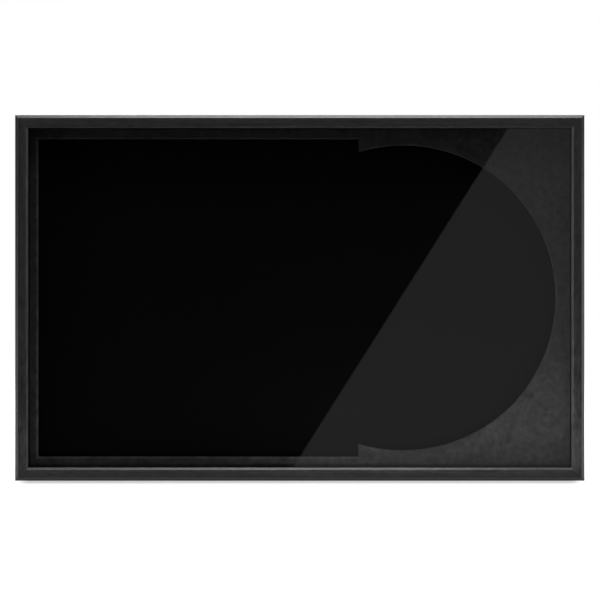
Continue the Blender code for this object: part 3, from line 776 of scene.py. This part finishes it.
# Wall bumpers: a short plug with a soft shoulder and a slightly dished face
bumperShape = {"ease": 0.0011, "dish": 0.00025, "foot": 0.0003, "easeSteps": 10, "dishSteps": 8,
               "steps": 56}


def makeBumper(corner):
    look = bumperShape
    node = "wall_bumper_" + corner
    low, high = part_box(node)
    radius = (high[0] - low[0]) / 2
    turn = np.linspace(0, math.pi / 2, look["easeSteps"])
    inner = radius - look["ease"]
    shoulder = np.stack([inner + look["ease"] * np.cos(turn),
                         high[1] - look["ease"] * (1 - np.sin(turn))], axis=1)
    share = np.linspace(1, 0, look["dishSteps"])[1:]
    dish = np.stack([inner * share, high[1] - look["dish"] * (1 - share ** 2)], axis=1)
    foot = [(0, low[1]), (radius - look["foot"], low[1]), (radius, low[1] + look["foot"])]
    profile = np.concatenate([foot, shoulder, dish])
    makePiece(node, "moulded", turned(profile, middle(node), look["steps"]), finishes["bumper"], sharp=35)


print("rails and mat")
for side in sides:
    makeRail(side)
makeMat()
print("fittings")
for corner in corners:
    makeNail(corner)
    makeBumper(corner)
for button in buttons:
    makeButton(button)
    makeScrew(button)
for side in ("left", "right"):
    makeStrap(side)
    makeRivet(side)
    makeRing(side)


# The camera: level, straight in front, a little below the frame's middle
view = {"distance": 1.7, "drop": 0.0021, "aside": 0.00023, "across": 0.5795, "sensor": 36.0}


def makeCamera():
    front = cadBox[0][1]
    height = (cadBox[0][2] + cadBox[1][2]) / 2 - view["drop"]
    data = bpy.data.cameras.new("front view")
    data.sensor_width = view["sensor"]
    data.lens = view["sensor"] * view["distance"] / view["across"]
    made = bpy.data.objects.new("front_view", data)
    bpy.context.scene.collection.objects.link(made)
    made.location = (view["aside"], front - view["distance"], height)
    made.rotation_euler = (math.radians(90), 0, 0)
    bpy.context.scene.camera = made
    return made


camera = makeCamera()


# Something of the studio: one sheet from a grid of points, which isn't part of the frame
def stageSheet(name, points, finish):
    rows, columns = points.shape[:2]
    index = np.arange(rows * columns).reshape(rows, columns)
    faces = np.stack([index[:-1, :-1], index[:-1, 1:], index[1:, 1:], index[1:, :-1]], axis=-1)
    mesh = bpy.data.meshes.new(name)
    mesh.from_pydata(points.reshape(-1, 3).tolist(), [], faces.reshape(-1, 4).tolist())
    mesh.materials.append(finish)
    made = bpy.data.objects.new(name, mesh)
    bpy.context.scene.collection.objects.link(made)
    return made


# Seen in gloss and in nothing else, and it casts no shadow
def onlyMirrored(made):
    for kind in ("camera", "diffuse", "transmission", "volume_scatter", "shadow"):
        setattr(made, "visible_" + kind, False)


# 1 for what the camera, a mirror or a clear sheet sees, 0 for light that falls on something
def plainlySeen(shade):
    camera, gloss, clear = [shade.make("LightPath", out=kind)
                            for kind in ("Is Camera Ray", "Is Glossy Ray", "Is Transmission Ray")]
    return shade.maths("MAXIMUM", camera, shade.maths("MAXIMUM", gloss, clear))


# A pale floor, lit like anything else, which keeps the lamps' shadows. Where it is seen it is lifted
# towards white by three lifts: at the frame's foot, past the near stretch and past the far one. The
# foot's lift is the lowest, which paints a contact shadow round the frame over its real one. A place's
# distance is from a rectangle under the frame: the length of what |x| and |y| have over its half
# sizes, with |x| counted sideways times.
floorLook = {"half": 6.0, "below": 0.0002, "pale": 0.35, "foot": (0.258, 0.0185, 0), "sideways": 2.5,
             "liftsWithPaintedShadow": (0.36, 0.8, 1.0), "near": (0.008, 0.04), "far": (0.1, 0.9)}


def makeFloor():
    look = floorLook
    edge = np.array([-look["half"], look["half"]])
    across, along = np.meshgrid(edge, edge)
    finish, shade = newFinish("pale floor")

    def vector(operation, first, second=(0, 0, 0), out="Vector"):
        return shade.make("VectorMath", {"operation": operation}, {0: first, 1: second}, out=out)

    over = vector("MAXIMUM", vector("SUBTRACT", vector("ABSOLUTE", shade.place()), look["foot"]))
    away = vector("LENGTH", vector("MULTIPLY", over, (look["sideways"], 1, 1)), out="Value")
    # The low lift at the foot, rising over the near stretch, is a painted contact shadow
    foot, middle, far = look["liftsWithPaintedShadow"]
    lift = (foot + shade.step(away, *look["near"]) * (middle - foot)
            + shade.step(away, *look["far"]) * (far - middle))
    matt = shade.make("BsdfDiffuse", {}, {"Color": (look["pale"], look["pale"], look["pale"], 1)})
    glow = shade.make("Emission", {}, {"Color": (1, 1, 1, 1), "Strength": plainlySeen(shade) * lift})
    finishWith(shade, shade.make("AddShader", {}, {0: matt, 1: glow}))
    stageSheet("floor", np.stack([across, along, np.full_like(across, -look["below"])], axis=-1), finish)


# A black flag before the frame, seen in its glass and lacquer alone: a sheet on the floor from the
# frame's foot, which turns up into a curved wall. Rows go along that profile, the turn goes round it.
# It glows grey where the glass doesn't show it, near the frame's foot and at both ends of the wall:
# a painted reflection in the lacquer's chamfers.
flagLook = {"turn": 70, "turns": 40, "foot": 0.002, "footWide": 1.0, "far": 2.9, "height": 1.7,
            "above": 0.0002, "footGlow": 0.65, "footTo": (-0.145, -0.115), "leftGlow": 0.35,
            "rightGlow": 0.4, "endFrom": (0.85, 1.3), "wallFrom": (0.0, 0.25)}
# One more stands at each side, off the floor, for the outer chamfer there. Each has its place
# across and its lowest height.
sideFlagLook = {"leftFlag": (-0.95, 0.15), "rightFlag": (0.95, 0.33), "front": -0.22, "back": 0.5,
                "high": 1.3}


def makeFlags():
    look, sideLook = flagLook, sideFlagLook
    turn = np.radians(np.linspace(-look["turn"], look["turn"], look["turns"]))
    across, along = look["far"] * np.sin(turn), cadBox[0][1] - look["far"] * np.cos(turn)
    above, height = np.full_like(turn, look["above"]), np.full_like(turn, look["height"])
    foot = np.stack([np.linspace(-1, 1, look["turns"]) * look["footWide"],
                     np.full_like(turn, cadBox[0][1] + look["foot"]), above], axis=1)
    points = np.stack([foot, np.stack([across, along, above], axis=1),
                       np.stack([across, along, height], axis=1)])
    finish, shade = newFinish("flag, glowing grey at its foot and ends")
    x, y, z = [shade.make("SeparateXYZ", {}, {0: shade.place()}, out=axis) for axis in range(3)]
    # The glow at the foot and the ends, seen only in gloss, is a painted reflection
    foot = shade.step(y, *look["footTo"]) * look["footGlow"]
    ends = (shade.step(x, *look["endFrom"]) * look["rightGlow"]
            + shade.step(0 - x, *look["endFrom"]) * look["leftGlow"])
    glow = foot + ends * shade.step(z, *look["wallFrom"])
    finishWith(shade, shade.make("Emission", {}, {"Color": (1, 1, 1, 1), "Strength": glow}))
    onlyMirrored(stageSheet("flag", points, finish))
    finish, shade = newFinish("black velvet flag")
    finishWith(shade, shade.make("BsdfDiffuse", {}, {"Color": (0, 0, 0, 1)}))
    for name in ("leftFlag", "rightFlag"):
        across, lowest = sideLook[name]
        along, up = np.meshgrid([sideLook["front"], sideLook["back"]], [lowest, sideLook["high"]])
        points = np.stack([np.full_like(along, across), along, up], axis=-1)
        onlyMirrored(stageSheet(name, points, finish))


# A grey card close before the glass, right of a slanted edge, whose reflection crosses the frame.
# The edge is a line through two places, right of and above the camera's axis, and it is soft.
cardLook = {"front": -0.12, "top": (0.2112, 0.1743), "bottom": (0.0079, -0.1466), "soft": 0.0022,
            "glow": 0.172, "over": 0.06, "right": 0.31, "above": 0.001}


# Glow times how far a point lies right of the edge, over the edge's softness, from 0 to 1
def makeCard():
    look = cardLook
    top, bottom = np.array(look["top"]), np.array(look["bottom"])
    slope = (top - bottom) / (top - bottom)[1]
    height = camera.location.z
    ends = np.array([top[1] + look["over"], look["above"] - height])
    edge = top + (ends - top[1])[:, None] * slope
    flat = np.stack([edge, np.stack([np.full(2, look["right"]), ends], axis=1)])
    square = np.array([slope[1], -slope[0]]) / np.linalg.norm(slope)
    finish, shade = newFinish("grey card")
    start = float(square @ (bottom + (camera.location.x, height)))
    apart = shade.make("VectorMath", {"operation": "DOT_PRODUCT"},
                       {0: shade.place(), 1: (float(square[0]), 0, float(square[1]))}, out="Value")
    inside = shade.step(apart, start, start + look["soft"])
    finishWith(shade, shade.make("Emission", {},
                                 {"Color": (1, 1, 1, 1), "Strength": inside * look["glow"]}))
    points = np.stack([flat[..., 0] + camera.location.x, np.full(flat.shape[:2], look["front"]),
                       flat[..., 1] + height], axis=-1)
    onlyMirrored(stageSheet("card", points, finish))


# Lamps: place, what each looks at, size across and along, watts, whether it shows in gloss
lamps = {
    "overheadSoftbox": {"place": (0.05, 0.06, 1.4), "at": (0.05, 0, 0), "size": (0.8, 0.16), "watts": 6.5,
                        "mirrored": True},
    "highStrip": {"place": (0.05, -0.4, 1.35), "at": (0.05, 0, 0.1), "size": (0.7, 0.3), "watts": 10,
                  "mirrored": True},
    "rightStrip": {"place": (1.3, -0.3, 0.12), "at": (0, -0.05, 0.15), "size": (0.3, 0.9), "watts": 4.6,
                   "mirrored": True},
    "leftStrip": {"place": (-1.2, -0.42, 0.16), "at": (0.2, 0, 0.17), "size": (0.25, 0.5), "watts": 4.0,
                  "mirrored": True},
    "leftBounce": {"place": (-0.15, -0.085, 0.002), "at": (-0.15, -0.085, 1), "size": (0.36, 0.05),
                   "watts": 0.4, "mirrored": False},
    "rightBounce": {"place": (0.14, -0.085, 0.002), "at": (0.14, -0.085, 1), "size": (0.34, 0.05),
                    "watts": 1.15, "mirrored": False},
    "rightFill": {"place": (1.2, -0.7, 1.1), "at": (0.1, 0, 0.1), "size": (0.5, 0.5), "watts": 3.5,
                  "mirrored": False},
    "rearSoftbox": {"place": (-0.5, 1.5, 1.3), "at": (0, 0, 0.15), "size": (1.0, 0.8), "watts": 35,
                    "mirrored": True},
}


def makeLamps():
    for name, look in lamps.items():
        data = bpy.data.lights.new(name, "AREA")
        data.shape = "RECTANGLE"
        data.size, data.size_y = look["size"]
        data.energy = look["watts"]
        made = bpy.data.objects.new(name, data)
        bpy.context.scene.collection.objects.link(made)
        made.location = look["place"]
        aim = Vector(look["at"]) - Vector(look["place"])
        made.rotation_euler = aim.to_track_quat("-Z", "Y").to_euler()
        made.visible_camera = False
        made.visible_glossy = look["mirrored"]


# The room is white where it is plainly seen, and sheds only the ambient share of that as light
roomLook = {"ambient": 0.08}


def makeRoom():
    world = bpy.data.worlds.new("white room")
    world.use_nodes = True
    world.node_tree.nodes.clear()
    shade = Shade(world.node_tree)
    strength = roomLook["ambient"] + plainlySeen(shade) * (1 - roomLook["ambient"])
    shade.make("OutputWorld", {}, {"Surface": shade.make("Background", {}, {"Color": (1, 1, 1, 1),
                                                                             "Strength": strength})})
    bpy.context.scene.world = world


print("studio")
makeFloor()
makeFlags()
makeCard()
makeLamps()
makeRoom()
bpy.context.scene.view_settings.view_transform = "Standard"
